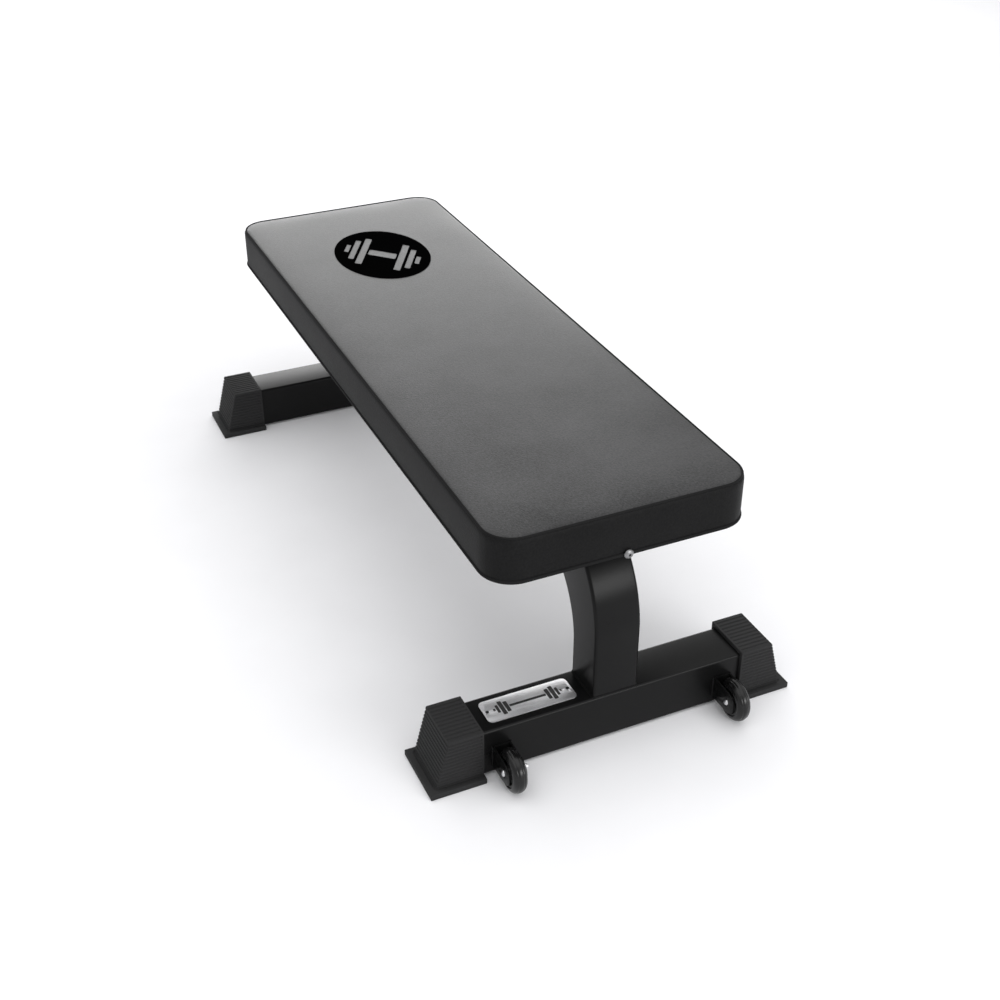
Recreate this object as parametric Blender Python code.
"""Flat weight bench: a padded top on two curved uprights, joined by a spine beam, standing on two foot
tubes with rubber caps, with a pair of transport wheels on the front foot.

Metres, +Z up. X runs across the bench, +Y from the wheel end (front) to the rear.
The origin is on the floor, in the middle of the bench's outline.
"""

import math

import bmesh
import bpy
from mathutils import Matrix, Vector

GAP = 0.0003  # clearance between pieces that touch

# Overall height and layout
TOP_HEIGHT = 0.420
FOOT_SPAN = 1.146  # front foot centre to rear foot centre
PAD_SHIFT = 0.002  # the pad sits this far to the rear of the middle of the feet

# Foot tubes
FOOT_DEPTH = 0.076
FOOT_BOTTOM = 0.003
FOOT_TOP = 0.085
FOOT_HALF_LENGTH = 0.266
TUBE_WALL = 0.0025
TUBE_CORNER = 0.005

# Uprights: front and back outlines are a vertical line running into an arc
POST_WIDTH = 0.075
POST_DEPTH = 0.072
OUTER_ARC = 0.170
OUTER_ARC_START = 0.190
INNER_ARC = 0.142
BEND_STATIONS = 10

# Spine beam and the pad's cross brackets
SPINE_TOP = 0.3365
SPINE_DEPTH = 0.050
BRACKET_THICK = 0.005
BRACKET_LENGTH = 0.300
BRACKET_WIDTH = 0.060
BRACKET_SPAN = 0.680
GUSSET_HEIGHT = 0.034
GUSSET_REACH = 0.130

# Pad, from the bottom up
PAD_WIDTH = 0.416
PAD_LENGTH = 1.250
PAD_CORNER = 0.050
UNDER_COVER_THICK = 0.001
BOARD_THICK = 0.017
BOARD_INSET = 0.006
COVER_THICK = 0.002
WELT_WIDTH = 0.004
WELT_HEIGHT = 0.0035
ROLL_HEIGHT = 0.008
ROLL_STAND = 0.001
EMBLEM_HALF_WIDTH = 0.0873
EMBLEM_HALF_LENGTH = 0.1195
EMBLEM_THICK = 0.0007
EMBLEM_SINK = 0.0001
EMBLEM_Y = 0.3522  # from the pad's centre

# Pad bolts, M8
BOLT_X = 0.110
BOLT_R = 0.004
BOLT_HEAD_AF = 0.013
BOLT_HEAD_HIGH = 0.0053
WASHER_R = 0.009
WASHER_THICK = 0.0016
NUT_BARREL_R = 0.005
NUT_BARREL_LONG = 0.012
NUT_FLANGE_R = 0.011
NUT_FLANGE_THICK = 0.0015

# Front edge screw
EDGE_SCREW_HEAD_R = 0.0075
EDGE_SCREW_HEAD_HIGH = 0.004
EDGE_SCREW_R = 0.003
EDGE_SCREW_LONG = 0.036
EDGE_SOCKET_R = 0.0024
EDGE_SOCKET_DEPTH = 0.0024

# Rubber foot caps
CAP_INNER_END = 0.2186
CAP_TOP_EDGE = 0.2743
CAP_SLOPE_FOOT = 0.2960
CAP_OUTER_END = 0.3077
CAP_TOP = 0.0919
CAP_PROUD = 0.0065
FLANGE_PROUD = 0.0161
FLANGE_THICK = 0.0099

# Transport wheels
WHEEL_X = 0.1888
WHEEL_Z = 0.036
WHEEL_REACH = 0.0402  # axle ahead of the foot tube's front face
TYRE_R = 0.0345
TYRE_INNER_R = 0.0235
TYRE_HALF_WIDTH = 0.0115
TYRE_CROWN = 0.0102
HUB_HALF_WIDTH = 0.0100
CHEEK_INSIDE = 0.0123
CHEEK_THICK = 0.0025
CHEEK_R = 0.019
AXLE_R = 0.003
AXLE_HEAD_R = 0.00525
AXLE_HEAD_HIGH = 0.0033
AXLE_HEAD_TAPER = 0.62
AXLE_SOCKET_R = 0.0023
AXLE_SOCKET_DEPTH = 0.002
AXLE_LONG = 0.0385
BUSH_R = 0.0045
LOCKNUT_AF = 0.010
LOCKNUT_HIGH = 0.006
AXLE_WASHER_R = 0.006
THRUST_R = 0.009
THRUST_PLAY = 0.00045

# Nameplate
PLATE_CENTRE_X = -0.1286
PLATE_LONG = 0.145
PLATE_WIDE = 0.048
PLATE_THICK = 0.0012
PLATE_CORNER = 0.008
PIN_INSET = 0.0065
PIN_R = 0.0015
PIN_HEAD_R = 0.0027
PIN_HEAD_HIGH = 0.0009
PIN_LONG = 0.006

# Facets
ROUND = 16  # sides of small round pieces
WHEEL_SIDES = 40
SHARP_ANGLE = math.radians(35)

# The tyres are the front end of the bench's outline and the pad's rear edge is its back end
FRONT_REACH = FOOT_SPAN / 2 + FOOT_DEPTH / 2 + WHEEL_REACH + TYRE_R
REAR_REACH = PAD_SHIFT + PAD_LENGTH / 2 + ROLL_STAND
MIDDLE_Y = (FRONT_REACH - REAR_REACH) / 2  # halfway between the feet
PAD_Y = MIDDLE_Y + PAD_SHIFT
SPINE_BOTTOM = SPINE_TOP - SPINE_DEPTH
PAD_BOTTOM = SPINE_TOP + BRACKET_THICK + 2 * GAP
BOARD_BOTTOM = PAD_BOTTOM + UNDER_COVER_THICK + GAP
BOARD_TOP = BOARD_BOTTOM + BOARD_THICK
PANEL_BOTTOM = TOP_HEIGHT - COVER_THICK
WELT_BOTTOM = PANEL_BOTTOM - WELT_HEIGHT / 2
EDGE_SCREW_Z = BOARD_BOTTOM + BOARD_THICK / 4
AXLE_Y = MIDDLE_Y - FOOT_SPAN / 2 - FOOT_DEPTH / 2 - WHEEL_REACH


# ---------------------------------------------------------------- helpers


def clear_scene():
    for obj in list(bpy.data.objects):
        bpy.data.objects.remove(obj, do_unlink=True)


def make_material(name, colour, roughness, metallic=0.0):
    """A Principled material with the piece's own colour and finish."""
    material = bpy.data.materials.new(name)
    material.use_nodes = True
    shader = material.node_tree.nodes["Principled BSDF"]
    shader.inputs["Base Color"].default_value = (*colour, 1.0)
    shader.inputs["Roughness"].default_value = roughness
    shader.inputs["Metallic"].default_value = metallic
    return material


def make_object(name, bm, material=None, smooth=False):
    """Turns a bmesh into a named object, with its faces pointing out. A cutter has no material."""
    bmesh.ops.recalc_face_normals(bm, faces=bm.faces)
    mesh = bpy.data.meshes.new(name)
    bm.to_mesh(mesh)
    bm.free()
    if smooth:
        mesh.shade_smooth()
        mesh.set_sharp_from_angle(angle=SHARP_ANGLE)
    obj = bpy.data.objects.new(name, mesh)
    bpy.context.scene.collection.objects.link(obj)
    if material:
        mesh.materials.append(material)
    return obj


def combine(obj, other, operation):
    """Adds or cuts another shape with a Boolean, and hides that shape."""
    modifier = obj.modifiers.new(operation.lower() + "_" + other.name, "BOOLEAN")
    modifier.operation = operation
    modifier.object = other
    modifier.solver = "EXACT"
    other.hide_render = True
    other.display_type = "WIRE"
    return obj


def rounded_rectangle(half_a, half_b, radius, steps=4):
    """Points of a rectangle with rounded corners, counter-clockwise."""
    points = []
    for corner, (sign_a, sign_b) in enumerate(((1, 1), (-1, 1), (-1, -1), (1, -1))):
        centre = Vector((sign_a * (half_a - radius), sign_b * (half_b - radius)))
        for step in range(steps + 1):
            angle = math.radians(90) * (corner + step / steps)
            points.append(centre + radius * Vector((math.cos(angle), math.sin(angle))))
    return points


def loft(bm, loops):
    """Skins a list of equal point loops with quads, and returns the first and last loops of vertices."""
    rows = [[bm.verts.new(point) for point in loop] for loop in loops]
    for low, high in zip(rows, rows[1:]):
        for i in range(len(low)):
            j = (i + 1) % len(low)
            bm.faces.new((low[i], low[j], high[j], high[i]))
    return rows[0], rows[-1]


def solid_loft(loops):
    """A closed body through point loops, with a flat cap at each end."""
    bm = bmesh.new()
    first, last = loft(bm, loops)
    bm.faces.new(reversed(first))
    bm.faces.new(last)
    return bm


def hollow_loft(outer_loops, inner_loops):
    """A tube through point loops, open at both ends, with a rim between its outer and inner skins."""
    bm = bmesh.new()
    outer_ends = loft(bm, outer_loops)
    inner_ends = loft(bm, inner_loops)
    for outer, inner in zip(outer_ends, inner_ends):
        for i in range(len(outer)):
            j = (i + 1) % len(outer)
            bm.faces.new((outer[i], outer[j], inner[j], inner[i]))
    return bm


def box(low, high):
    """A plain block between two corners."""
    bm = bmesh.new()
    bmesh.ops.create_cube(bm, size=1.0)
    size = Vector(high) - Vector(low)
    centre = (Vector(high) + Vector(low)) / 2
    bmesh.ops.scale(bm, vec=size, verts=bm.verts)
    bmesh.ops.translate(bm, vec=centre, verts=bm.verts)
    return bm


def pointing(axis):
    """Turns a shape that runs along +Z to run along the given axis."""
    turn = Vector((0, 0, 1)).rotation_difference(Vector(axis))
    return turn.to_matrix().to_4x4()


def rod(start, axis, length, radius, sides=ROUND):
    """A cylinder from a start point along an axis. Six sides make a hexagon of that corner radius."""
    bm = bmesh.new()
    place = Matrix.Translation(start) @ pointing(axis) @ Matrix.Translation((0, 0, length / 2))
    bmesh.ops.create_cone(bm, cap_ends=True, segments=sides, radius1=radius, radius2=radius,
                          depth=length, matrix=place)
    return bm


def ring(start, axis, length, inner_r, outer_r, sides=ROUND):
    """A washer or sleeve from a start point along an axis."""
    return turned(start, axis, ((inner_r, 0), (outer_r, 0), (outer_r, length), (inner_r, length)), sides)


def turned(start, axis, profile, sides):
    """A body turned round an axis from a closed (radius, height) profile that stays clear of it."""
    bm = bmesh.new()
    verts = [bm.verts.new((radius, 0, height)) for radius, height in profile]
    edges = [bm.edges.new((verts[i], verts[i - 1])) for i in range(len(verts))]
    bmesh.ops.spin(bm, geom=verts + edges, cent=(0, 0, 0), axis=(0, 0, 1), angle=math.tau,
                   steps=sides, use_merge=True)
    bmesh.ops.transform(bm, matrix=Matrix.Translation(start) @ pointing(axis), verts=bm.verts)
    return bm


def hex_corner(across_flats):
    """A hexagon's corner radius from its size across the flats."""
    return across_flats / 2 / math.cos(math.radians(30))


# ---------------------------------------------------------------- frame


def section_loop(front, back, half_width, inset, corner):
    """A rounded section spanned by X and the line between two (y, z) outline points."""
    front, back = Vector(front), Vector(back)
    middle = (front + back) / 2
    along = (back - front).normalized()
    half_depth = (back - front).length / 2 - inset
    loop = []
    for across, deep in rounded_rectangle(half_width - inset, half_depth, corner):
        point = middle + along * deep
        loop.append((across, point.x, point.y))
    return loop


def foot_tube(name, y, paint):
    """A rectangular tube across the bench, open at both ends under its caps."""
    outer, inner = [], []
    for x in (-FOOT_HALF_LENGTH, FOOT_HALF_LENGTH):
        centre_z = (FOOT_BOTTOM + FOOT_TOP) / 2
        half_y, half_z = FOOT_DEPTH / 2, (FOOT_TOP - FOOT_BOTTOM) / 2
        for loops, inset, corner in ((outer, 0, TUBE_CORNER), (inner, TUBE_WALL, TUBE_CORNER / 2)):
            shape = rounded_rectangle(half_y - inset, half_z - inset, corner)
            loops.append([(x, y + a, centre_z + b) for a, b in shape])
    return make_object(name, hollow_loft(outer, inner), paint, smooth=True)


def outer_outline(share):
    """A point of the upright's outer outline: an arc up to the spine's top, then flat to the joint."""
    end_angle = math.asin((SPINE_TOP - OUTER_ARC_START) / OUTER_ARC)
    arc_top = OUTER_ARC * (1 - math.cos(end_angle))
    joint = POST_DEPTH + INNER_ARC
    rise = OUTER_ARC_START - (SPINE_BOTTOM - INNER_ARC)
    lengths = (rise, OUTER_ARC * end_angle, joint - arc_top)
    travel = share * sum(lengths)
    if travel <= lengths[0]:
        return 0.0, SPINE_BOTTOM - INNER_ARC + travel
    travel -= lengths[0]
    if travel <= lengths[1]:
        angle = travel / OUTER_ARC
        return OUTER_ARC * (1 - math.cos(angle)), OUTER_ARC_START + OUTER_ARC * math.sin(angle)
    travel -= lengths[1]
    return arc_top + travel, SPINE_TOP


def inner_outline(share):
    """A point of the upright's inner outline: a quarter circle that runs into the spine's underside."""
    angle = share * math.radians(90)
    lean = INNER_ARC * (1 - math.cos(angle))
    return POST_DEPTH + lean, SPINE_BOTTOM - INNER_ARC + INNER_ARC * math.sin(angle)


def upright(name, foot_y, inward, paint):
    """A box-section post that rises from the foot and curves in to the spine. inward is +1 or -1 along Y."""
    face_y = foot_y - inward * POST_DEPTH / 2
    pairs = [((0, FOOT_TOP + GAP), (POST_DEPTH, FOOT_TOP + GAP))]
    for station in range(BEND_STATIONS + 1):
        share = station / BEND_STATIONS
        pairs.append((outer_outline(share), inner_outline(share)))
    outer, inner = [], []
    for loops, inset, corner in ((outer, 0, TUBE_CORNER), (inner, TUBE_WALL, TUBE_CORNER / 2)):
        for front, back in pairs:
            front = (face_y + inward * front[0], front[1])
            back = (face_y + inward * back[0], back[1])
            loops.append(section_loop(front, back, POST_WIDTH / 2, inset, corner))
    return make_object(name, hollow_loft(outer, inner), paint, smooth=True)


def spine_ends():
    """The Y of the joints between the uprights and the spine."""
    reach = FOOT_SPAN / 2 - POST_DEPTH / 2 - INNER_ARC
    return MIDDLE_Y - reach, MIDDLE_Y + reach


def spine_beam(paint):
    """The tube that joins the uprights under the pad."""
    start, end = spine_ends()
    outer, inner = [], []
    for y in (start + GAP, end - GAP):
        front, back = (y, SPINE_BOTTOM), (y, SPINE_TOP)
        outer.append(section_loop(front, back, POST_WIDTH / 2, 0, TUBE_CORNER))
        inner.append(section_loop(front, back, POST_WIDTH / 2, TUBE_WALL, TUBE_CORNER / 2))
    return make_object("spine_beam", hollow_loft(outer, inner), paint, smooth=True)


def gusset(name, side, y):
    """A triangular web that holds up one arm of a cross bracket against the spine's side."""
    inner_x = side * (POST_WIDTH / 2 + GAP)
    outer_x = side * GUSSET_REACH
    top = SPINE_TOP + GAP + BRACKET_THICK / 2
    low = SPINE_TOP - GUSSET_HEIGHT
    tip = SPINE_TOP - BRACKET_THICK
    shape = ((inner_x, low), (inner_x, top), (outer_x, top), (outer_x, tip))
    half = BRACKET_THICK / 2
    return make_object(name, solid_loft([[(x, y + s, z) for x, z in shape] for s in (-half, half)]))


def pad_bracket(name, y, paint):
    """A cross plate on the spine with a gusset under each arm and a hole for each pad bolt."""
    bottom = SPINE_TOP + GAP
    low = (-BRACKET_LENGTH / 2, y - BRACKET_WIDTH / 2, bottom)
    high = (BRACKET_LENGTH / 2, y + BRACKET_WIDTH / 2, bottom + BRACKET_THICK)
    plate = make_object(name, box(low, high), paint)
    for side in (-1, 1):
        web = gusset(f"{name}_web_{side}", side, y)
        combine(plate, web, "UNION")
    for side in (-1, 1):
        start = (side * BOLT_X, y + BRACKET_WIDTH / 4, bottom - BRACKET_THICK)
        hole = rod(start, (0, 0, 1), 3 * BRACKET_THICK, BOLT_R + 2 * GAP)
        combine(plate, make_object(f"{name}_hole_{side}", hole), "DIFFERENCE")
    return plate


# ---------------------------------------------------------------- pad


def pad_loop(inset, z):
    """The pad's outline in plan, drawn in by an inset, at a height."""
    shape = rounded_rectangle(PAD_WIDTH / 2 - inset, PAD_LENGTH / 2 - inset, PAD_CORNER - inset, steps=6)
    return [(a, PAD_Y + b, z) for a, b in shape]


def pad_slab(name, inset, low, high, material):
    """A flat layer of the pad, over the pad's whole outline less an inset."""
    bm = solid_loft([pad_loop(inset, low), pad_loop(inset, high)])
    return make_object(name, bm, material, smooth=True)


def pad_ring(name, outer_inset, inner_inset, low, high, material):
    """A band that runs round the pad's edge."""
    outer = [pad_loop(outer_inset, low), pad_loop(outer_inset, high)]
    inner = [pad_loop(inner_inset, low), pad_loop(inner_inset, high)]
    return make_object(name, hollow_loft(outer, inner), material, smooth=True)


def bolt_places():
    """(name, x, y) of the four pad bolts."""
    for end, sign_y in (("front", -1), ("rear", 1)):
        y = MIDDLE_Y + sign_y * BRACKET_SPAN / 2 + BRACKET_WIDTH / 4
        for side, sign_x in (("left", -1), ("right", 1)):
            yield f"{end}_{side}", sign_x * BOLT_X, y


def drill_pad(piece, name, start_z, depth, radius):
    """Cuts the four bolt holes of a pad layer."""
    for place, x, y in bolt_places():
        hole = rod((x, y, start_z), (0, 0, 1), depth, radius)
        combine(piece, make_object(f"{name}_{place}", hole), "DIFFERENCE")


def drill_front_edge(piece, radius):
    """Cuts the front edge screw's hole."""
    start = (0, PAD_Y - PAD_LENGTH / 2 - EDGE_SCREW_HEAD_HIGH, EDGE_SCREW_Z)
    hole = rod(start, (0, 1, 0), EDGE_SCREW_LONG + 2 * EDGE_SCREW_HEAD_HIGH, radius)
    combine(piece, make_object(f"{piece.name}_screw_hole", hole), "DIFFERENCE")


def emblem_oval(margin, low_z, high_z):
    """An oval plate at the emblem's place on the pad."""
    turns = [math.tau * step / WHEEL_SIDES for step in range(WHEEL_SIDES)]
    half_x, half_y = EMBLEM_HALF_WIDTH + margin, EMBLEM_HALF_LENGTH + margin
    outline = [(half_x * math.cos(a), PAD_Y + EMBLEM_Y + half_y * math.sin(a)) for a in turns]
    return solid_loft([[(x, y, z) for x, y in outline] for z in (low_z, high_z)])


def pad_pieces(vinyl, band_vinyl, board_wood, foam, dust_cloth, print_black):
    """The pad from the bottom up: dust cloth, board, foam, side band, roll, welt, top panel and emblem."""
    inside = COVER_THICK + GAP
    cloth = pad_slab("pad_under_cover", inside, PAD_BOTTOM, PAD_BOTTOM + UNDER_COVER_THICK, dust_cloth)
    drill_pad(cloth, "cloth_hole", PAD_BOTTOM - BOLT_R, BOARD_THICK, NUT_BARREL_R)

    board = pad_slab("pad_board", BOARD_INSET, BOARD_BOTTOM, BOARD_TOP, board_wood)
    drill_pad(board, "board_hole", BOARD_BOTTOM - BOLT_R, 2 * BOARD_THICK, NUT_BARREL_R + GAP)
    drill_front_edge(board, EDGE_SCREW_R + GAP)

    filling = pad_slab("pad_foam", inside, BOARD_TOP + GAP, PANEL_BOTTOM - GAP, foam)
    pocket_depth = NUT_FLANGE_THICK + 2 * GAP
    drill_pad(filling, "foam_pocket", BOARD_TOP - BOLT_R, BOLT_R + pocket_depth, NUT_FLANGE_R + GAP)

    band_low = PAD_BOTTOM + ROLL_HEIGHT + GAP
    band = pad_ring("pad_side_band", 0, COVER_THICK, band_low, WELT_BOTTOM - GAP, band_vinyl)
    drill_front_edge(band, EDGE_SCREW_R + GAP)
    roll = pad_ring("pad_bottom_roll", -ROLL_STAND, COVER_THICK, PAD_BOTTOM, PAD_BOTTOM + ROLL_HEIGHT,
                    band_vinyl)
    drill_front_edge(roll, EDGE_SCREW_R + GAP)
    pad_ring("pad_top_welt", 0, WELT_WIDTH, WELT_BOTTOM, WELT_BOTTOM + WELT_HEIGHT, band_vinyl)
    panel_inset = WELT_WIDTH + GAP
    panel = pad_slab("pad_top_panel", panel_inset, PANEL_BOTTOM, TOP_HEIGHT, vinyl)

    emblem_top = TOP_HEIGHT - EMBLEM_SINK
    emblem_bottom = emblem_top - EMBLEM_THICK
    make_object("pad_emblem", emblem_oval(0, emblem_bottom, emblem_top), print_black)
    seat = emblem_oval(GAP, emblem_bottom - GAP, TOP_HEIGHT + EMBLEM_THICK)
    combine(panel, make_object("pad_emblem_seat", seat), "DIFFERENCE")


def trim_foam_to_welt():
    """The foam's top edge is stepped in, so that the welt has room."""
    foam = bpy.data.objects["pad_foam"]
    outer = [pad_loop(-WELT_WIDTH, WELT_BOTTOM - GAP), pad_loop(-WELT_WIDTH, TOP_HEIGHT)]
    inner = [pad_loop(WELT_WIDTH + GAP, WELT_BOTTOM - GAP), pad_loop(WELT_WIDTH + GAP, TOP_HEIGHT)]
    combine(foam, make_object("foam_step", hollow_loft(outer, inner)), "DIFFERENCE")


def pad_bolts(steel):
    """Four M8 bolts with washers under the brackets, each screwed into a T-nut in the board."""
    plate_bottom = SPINE_TOP + GAP
    for place, x, y in bolt_places():
        washer_low = plate_bottom - GAP - WASHER_THICK
        washer = ring((x, y, washer_low), (0, 0, 1), WASHER_THICK, BOLT_R + GAP, WASHER_R)
        make_object(f"pad_washer_{place}", washer, steel, smooth=True)

        head_top = washer_low - GAP
        head = rod((x, y, head_top), (0, 0, -1), BOLT_HEAD_HIGH, hex_corner(BOLT_HEAD_AF), sides=6)
        bolt = make_object(f"pad_bolt_{place}", head, steel)
        shank_low = head_top - BOLT_HEAD_HIGH / 2
        shank = rod((x, y, shank_low), (0, 0, 1), BOARD_TOP - shank_low, BOLT_R)
        combine(bolt, make_object(f"pad_bolt_{place}_shank", shank), "UNION")

        flange_low = BOARD_TOP + GAP
        profile = (
            (BOLT_R + GAP, flange_low - NUT_BARREL_LONG),
            (NUT_BARREL_R, flange_low - NUT_BARREL_LONG),
            (NUT_BARREL_R, flange_low),
            (NUT_FLANGE_R, flange_low),
            (NUT_FLANGE_R, flange_low + NUT_FLANGE_THICK),
            (BOLT_R + GAP, flange_low + NUT_FLANGE_THICK),
        )
        make_object(f"pad_tnut_{place}", turned((x, y, 0), (0, 0, 1), profile, ROUND), steel, smooth=True)


def edge_screw(steel):
    """The dome-headed screw in the middle of the pad's front edge, driven into the board."""
    face_y = PAD_Y - PAD_LENGTH / 2 - ROLL_STAND - GAP
    head = bmesh.new()
    bmesh.ops.create_uvsphere(head, u_segments=ROUND, v_segments=ROUND // 2, radius=EDGE_SCREW_HEAD_R)
    bmesh.ops.scale(head, vec=(1, EDGE_SCREW_HEAD_HIGH / EDGE_SCREW_HEAD_R, 1), verts=head.verts)
    bmesh.ops.translate(head, vec=(0, face_y, EDGE_SCREW_Z), verts=head.verts)
    screw = make_object("front_edge_screw", head, steel, smooth=True)
    reach = 2 * EDGE_SCREW_HEAD_R
    low = (-reach, face_y, EDGE_SCREW_Z - reach)
    high = (reach, face_y + reach, EDGE_SCREW_Z + reach)
    combine(screw, make_object("front_edge_screw_flat", box(low, high)), "DIFFERENCE")
    shank_start = (0, face_y - EDGE_SCREW_HEAD_HIGH / 2, EDGE_SCREW_Z)
    shank = rod(shank_start, (0, 1, 0), EDGE_SCREW_LONG, EDGE_SCREW_R)
    combine(screw, make_object("front_edge_screw_shank", shank), "UNION")
    socket_start = (0, face_y - 2 * EDGE_SCREW_HEAD_HIGH, EDGE_SCREW_Z)
    socket_end = EDGE_SCREW_HEAD_HIGH + EDGE_SOCKET_DEPTH
    socket = rod(socket_start, (0, 1, 0), socket_end, EDGE_SOCKET_R, sides=6)
    combine(screw, make_object("front_edge_screw_socket", socket), "DIFFERENCE")


# ---------------------------------------------------------------- rubber foot caps


def foot_cap(name, side, foot_y, rubber):
    """A rubber cap that slips over the tube's end: a body with a sloped end on a wide flange."""
    half_body = FOOT_DEPTH / 2 + CAP_PROUD
    half_flange = FOOT_DEPTH / 2 + FLANGE_PROUD
    overlap = FLANGE_THICK / 2
    lean = (CAP_SLOPE_FOOT - CAP_TOP_EDGE) / (CAP_TOP - FLANGE_THICK)
    low_edge = CAP_SLOPE_FOOT + lean * overlap
    shape = (
        (CAP_INNER_END, overlap),
        (low_edge, overlap),
        (CAP_TOP_EDGE, CAP_TOP),
        (CAP_INNER_END, CAP_TOP),
    )
    loops = [[(side * x, foot_y + y, z) for x, z in shape] for y in (-half_body, half_body)]
    body = make_object(name + "_body", solid_loft(loops))

    ends = sorted((side * CAP_INNER_END, side * CAP_OUTER_END))
    flange = box((ends[0], foot_y - half_flange, 0), (ends[1], foot_y + half_flange, FLANGE_THICK))
    cap = make_object(name, flange, rubber)
    combine(cap, body, "UNION")

    reach = sorted((side * (CAP_INNER_END - FLANGE_THICK), side * (FOOT_HALF_LENGTH + GAP)))
    half_y = FOOT_DEPTH / 2 + GAP
    pocket = box((reach[0], foot_y - half_y, FOOT_BOTTOM - GAP), (reach[1], foot_y + half_y, FOOT_TOP + GAP))
    combine(cap, make_object(name + "_pocket", pocket), "DIFFERENCE")
    return cap


# ---------------------------------------------------------------- transport wheels


def wheel_bracket(name, x, paint):
    """A U bracket on the foot's front face: two round-ended cheeks joined by a web."""
    face_y = AXLE_Y + WHEEL_REACH - GAP
    outside = CHEEK_INSIDE + CHEEK_THICK
    turns = [math.pi * (0.5 + i / ROUND) for i in range(ROUND + 1)]
    shape = [(face_y, WHEEL_Z - CHEEK_R), (face_y, WHEEL_Z + CHEEK_R)]
    shape += [(AXLE_Y + CHEEK_R * math.cos(a), WHEEL_Z + CHEEK_R * math.sin(a)) for a in turns]
    loops = [[(x + across, y, z) for y, z in shape] for across in (-outside, outside)]
    bracket = make_object(name, solid_loft(loops), paint, smooth=True)

    reach = 2 * CHEEK_R
    low = (x - CHEEK_INSIDE, AXLE_Y - reach, WHEEL_Z - reach)
    high = (x + CHEEK_INSIDE, face_y - CHEEK_THICK, WHEEL_Z + reach)
    combine(bracket, make_object(name + "_slot", box(low, high)), "DIFFERENCE")
    hole = rod((x - reach, AXLE_Y, WHEEL_Z), (1, 0, 0), 2 * reach, AXLE_R + GAP)
    combine(bracket, make_object(name + "_hole", hole), "DIFFERENCE")
    return bracket


def tyre_profile():
    """(radius, offset) points of the tyre: a plain bore and a crown that is half an oval."""
    points = [(TYRE_INNER_R, -HUB_HALF_WIDTH), (TYRE_INNER_R, HUB_HALF_WIDTH)]
    steps = ROUND // 2
    for step in range(steps + 1):
        angle = math.pi * step / steps
        radius = TYRE_R - TYRE_CROWN + TYRE_CROWN * math.sin(angle)
        points.append((radius, TYRE_HALF_WIDTH * math.cos(angle)))
    return points


def wheel(prefix, x, tyre_rubber, hub_plastic):
    """The parts that turn. Each has its origin on the axle."""
    hub_r = TYRE_INNER_R - GAP
    pieces = (
        (prefix + "_tyre", tyre_profile(), tyre_rubber),
        (
            prefix + "_hub",
            (
                (BUSH_R + GAP, -HUB_HALF_WIDTH),
                (hub_r, -HUB_HALF_WIDTH),
                (hub_r, HUB_HALF_WIDTH),
                (BUSH_R + GAP, HUB_HALF_WIDTH),
            ),
            hub_plastic,
        ),
    )
    for name, profile, material in pieces:
        piece = make_object(name, turned((0, 0, 0), (1, 0, 0), profile, WHEEL_SIDES), material, smooth=True)
        piece.location = (x, AXLE_Y, WHEEL_Z)


def axle_set(prefix, x, steel, nylon):
    """The screw, sleeve, washers and lock nut that hold one wheel in its bracket."""
    outside = CHEEK_INSIDE + CHEEK_THICK
    centre = Vector((x, AXLE_Y, WHEEL_Z))
    along = Vector((1, 0, 0))

    head_start = centre - along * (outside + GAP + AXLE_HEAD_HIGH)
    head = rod(head_start, along, AXLE_HEAD_HIGH, AXLE_HEAD_R)
    crown = [v for v in head.verts if v.co.x < head_start.x + AXLE_HEAD_HIGH / 2]
    bmesh.ops.scale(head, vec=(1, AXLE_HEAD_TAPER, AXLE_HEAD_TAPER), verts=crown,
                    space=Matrix.Translation(-centre))
    screw = make_object(prefix + "_axle_screw", head, steel, smooth=True)
    shank = rod(head_start + along * AXLE_HEAD_HIGH / 2, along, AXLE_LONG, AXLE_R)
    combine(screw, make_object(prefix + "_axle_shank", shank), "UNION")
    socket_start = head_start - along * AXLE_HEAD_HIGH
    socket = rod(socket_start, along, AXLE_HEAD_HIGH + AXLE_SOCKET_DEPTH, AXLE_SOCKET_R, sides=6)
    combine(screw, make_object(prefix + "_axle_socket", socket), "DIFFERENCE")

    sleeve_half = CHEEK_INSIDE - GAP
    sleeve = ring(centre - along * sleeve_half, along, 2 * sleeve_half, AXLE_R + GAP, BUSH_R)
    make_object(prefix + "_axle_sleeve", sleeve, steel, smooth=True)

    thrust_thick = CHEEK_INSIDE - HUB_HALF_WIDTH - 2 * THRUST_PLAY
    for side, sign in (("outer", -1), ("inner", 1)):
        start = centre + along * sign * (HUB_HALF_WIDTH + THRUST_PLAY)
        thrust = ring(start, along * sign, thrust_thick, BUSH_R + GAP, THRUST_R)
        make_object(f"{prefix}_thrust_washer_{side}", thrust, nylon, smooth=True)

    washer_start = centre + along * (outside + GAP)
    washer = ring(washer_start, along, WASHER_THICK, AXLE_R + GAP, AXLE_WASHER_R)
    make_object(prefix + "_axle_washer", washer, steel, smooth=True)

    nut_start = washer_start + along * (WASHER_THICK + GAP)
    hexagon = rod(nut_start, along, LOCKNUT_HIGH, hex_corner(LOCKNUT_AF), sides=6)
    nut = make_object(prefix + "_lock_nut", hexagon, steel)
    bore = rod(nut_start - along * GAP, along, 2 * LOCKNUT_HIGH, AXLE_R + GAP)
    combine(nut, make_object(prefix + "_lock_nut_bore", bore), "DIFFERENCE")


# ---------------------------------------------------------------- nameplate


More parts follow.
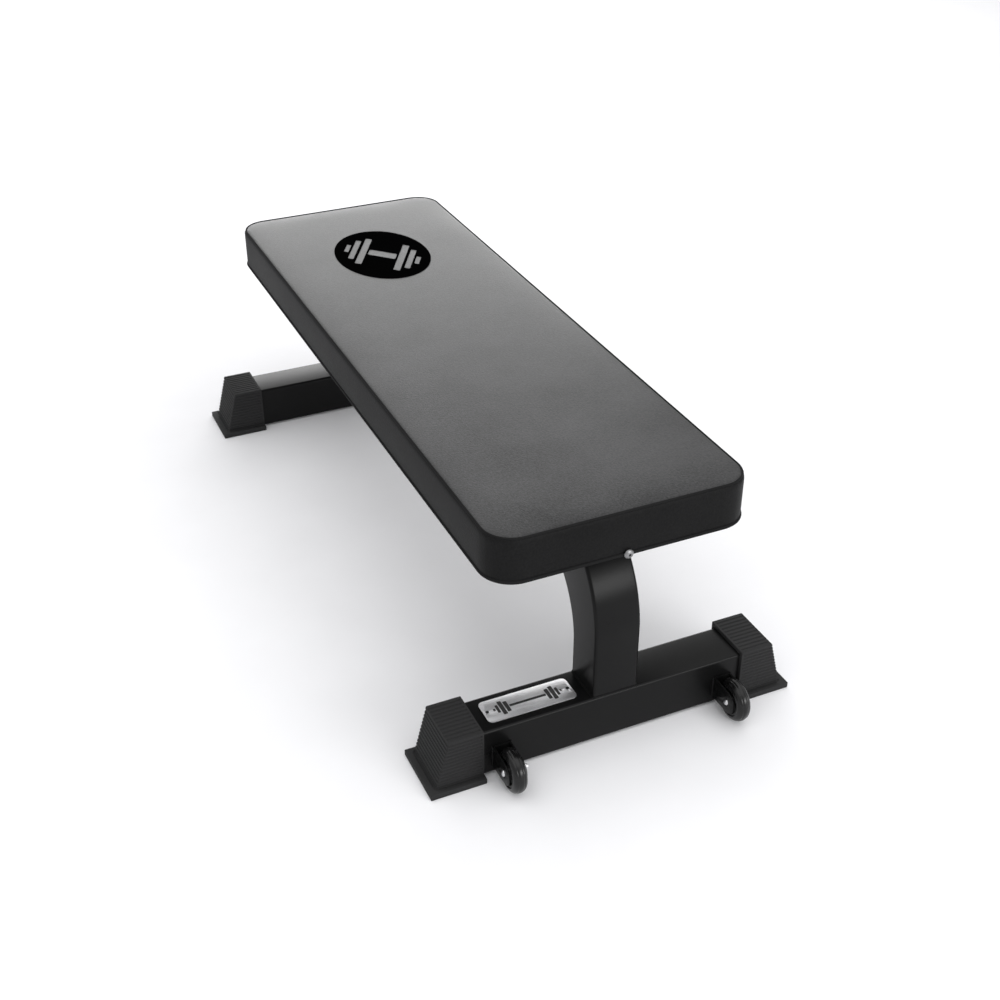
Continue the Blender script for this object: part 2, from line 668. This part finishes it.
def nameplate(foot, foot_y, brushed, pin_metal):
    """A brushed plate on the front foot, held by a pin at each end."""
    low, high = FOOT_TOP + GAP, FOOT_TOP + GAP + PLATE_THICK
    shape = rounded_rectangle(PLATE_LONG / 2, PLATE_WIDE / 2, PLATE_CORNER)
    loops = [[(PLATE_CENTRE_X + a, foot_y + b, z) for a, b in shape] for z in (low, high)]
    plate = make_object("nameplate", solid_loft(loops), brushed, smooth=True)
    for side, sign in (("outer", -1), ("inner", 1)):
        x = PLATE_CENTRE_X + sign * (PLATE_LONG / 2 - PIN_INSET)
        for piece in (plate, foot):
            hole = rod((x, foot_y, low - 2 * TUBE_WALL), (0, 0, 1), 4 * TUBE_WALL, PIN_R + GAP)
            combine(piece, make_object(f"{piece.name}_pin_hole_{side}", hole), "DIFFERENCE")
        head = rod((x, foot_y, high + GAP), (0, 0, 1), PIN_HEAD_HIGH, PIN_HEAD_R)
        pin = make_object(f"nameplate_pin_{side}", head, pin_metal, smooth=True)
        shank = rod((x, foot_y, high + GAP + PIN_HEAD_HIGH / 2), (0, 0, -1), PIN_LONG, PIN_R)
        combine(pin, make_object(f"nameplate_pin_{side}_shank", shank), "UNION")


# ---------------------------------------------------------------- the bench


def build_bench():
    black_paint = make_material("black_powder_coat", (0.020, 0.020, 0.021), 0.45)
    steel = make_material("zinc_steel", (0.62, 0.62, 0.64), 0.30, 1.0)
    brushed = make_material("brushed_plate", (0.72, 0.72, 0.73), 0.32, 1.0)
    cap_rubber = make_material("cap_rubber", (0.035, 0.035, 0.036), 0.80)
    tyre_rubber = make_material("tyre_rubber", (0.010, 0.010, 0.011), 0.25)
    hub_plastic = make_material("hub_plastic", (0.030, 0.030, 0.032), 0.50)
    nylon = make_material("nylon", (0.75, 0.74, 0.70), 0.45)
    vinyl = make_material("pad_vinyl", (0.115, 0.115, 0.118), 0.50)
    band_vinyl = make_material("band_vinyl", (0.030, 0.030, 0.031), 0.55)
    board_wood = make_material("plywood", (0.45, 0.32, 0.19), 0.70)
    foam = make_material("pad_foam_grey", (0.35, 0.35, 0.34), 0.95)
    dust_cloth = make_material("dust_cloth", (0.020, 0.020, 0.021), 0.90)
    print_black = make_material("emblem_black", (0.005, 0.005, 0.005), 0.50)

    front_y = MIDDLE_Y - FOOT_SPAN / 2
    rear_y = MIDDLE_Y + FOOT_SPAN / 2
    front_foot = foot_tube("front_foot_tube", front_y, black_paint)
    foot_tube("rear_foot_tube", rear_y, black_paint)
    upright("front_upright", front_y, 1, black_paint)
    upright("rear_upright", rear_y, -1, black_paint)
    spine_beam(black_paint)
    pad_bracket("front_pad_bracket", MIDDLE_Y - BRACKET_SPAN / 2, black_paint)
    pad_bracket("rear_pad_bracket", MIDDLE_Y + BRACKET_SPAN / 2, black_paint)

    pad_pieces(vinyl, band_vinyl, board_wood, foam, dust_cloth, print_black)
    trim_foam_to_welt()
    pad_bolts(steel)
    edge_screw(steel)

    for end, foot_y in (("front", front_y), ("rear", rear_y)):
        for side_name, side in (("left", -1), ("right", 1)):
            foot_cap(f"{end}_{side_name}_foot_cap", side, foot_y, cap_rubber)

    for side_name, x in (("left", -WHEEL_X), ("right", WHEEL_X)):
        wheel_bracket(f"{side_name}_wheel_bracket", x, black_paint)
        wheel(f"{side_name}_wheel", x, tyre_rubber, hub_plastic)
        axle_set(f"{side_name}_wheel", x, steel, nylon)

    nameplate(front_foot, front_y, brushed, steel)


clear_scene()
build_bench()
